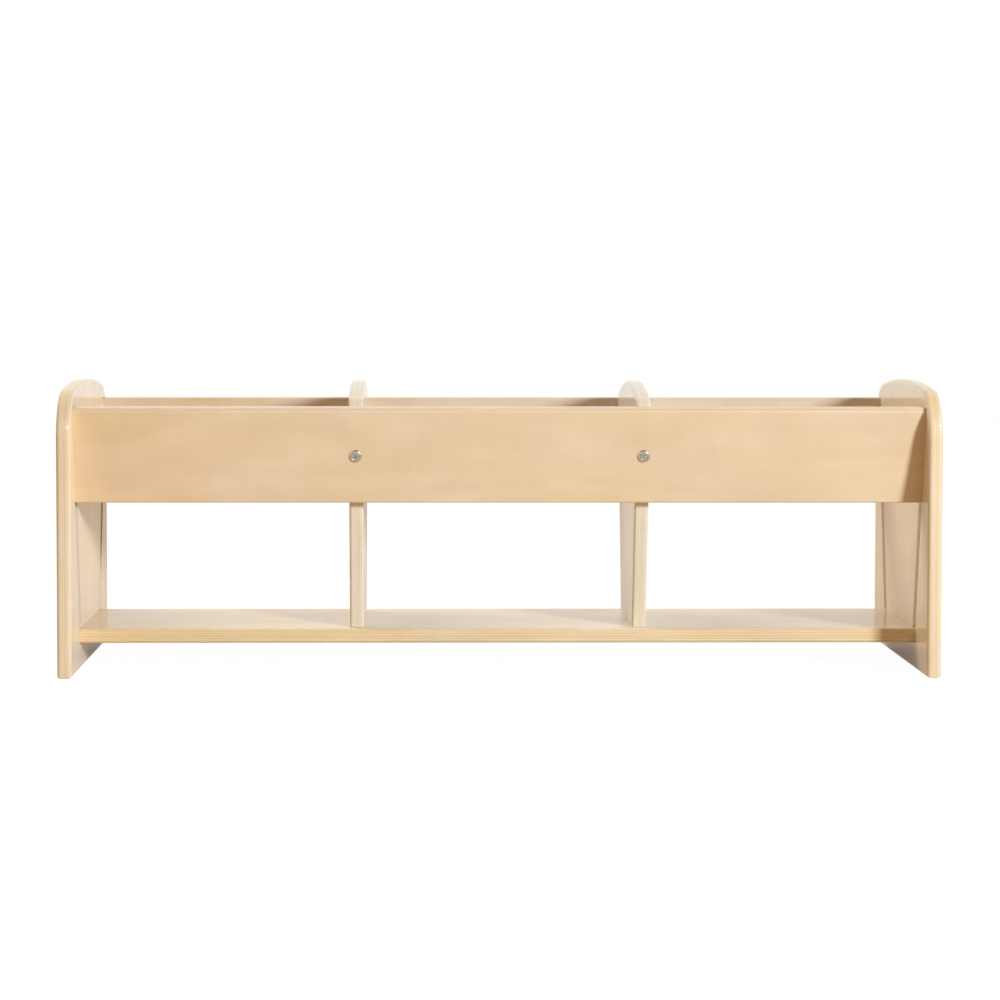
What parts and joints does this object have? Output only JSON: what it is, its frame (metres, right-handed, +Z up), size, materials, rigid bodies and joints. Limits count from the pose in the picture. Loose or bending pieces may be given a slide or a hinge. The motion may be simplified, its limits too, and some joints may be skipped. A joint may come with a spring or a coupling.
{
  "type": "picture book browser bin",
  "caption": "Low birch plywood book browser: crowned end boards, leaning front and back boards, bottom shelf and tapered dividers that make open bays for picture books.",
  "frame": {"origin": "on the floor, under the middle of the bin", "axes": "+X along the bin to the right as seen from the front, +Y from front to back, +Z up"},
  "size_m": [0.9144, 0.3048, 0.3048],
  "materials": {
    "end_plywood": "clear lacquered birch plywood, satin gloss, plies showing on the rounded edges",
    "panel_plywood": "clear lacquered birch plywood, satin gloss, long grain along the bin",
    "shelf_plywood": "clear lacquered birch plywood, satin gloss, plies showing on the front and back edges",
    "divider_plywood": "clear lacquered birch plywood, satin gloss, plies showing on the edges",
    "screw_nickel": "nickel plated, polished",
    "cup_washer_nickel": "nickel plated, polished"
  },
  "bodies": {
    "root": {"back_panel": "panel_plywood", "back_panel_cup_washers": "cup_washer_nickel", "back_panel_screws": "screw_nickel", "bottom_shelf": "shelf_plywood", "front_panel": "panel_plywood", "front_panel_cup_washers": "cup_washer_nickel", "front_panel_screws": "screw_nickel", "left_divider": "divider_plywood", "left_end_panel": "end_plywood", "right_divider": "divider_plywood", "right_end_panel": "end_plywood"}
  },
  "joints": []
}
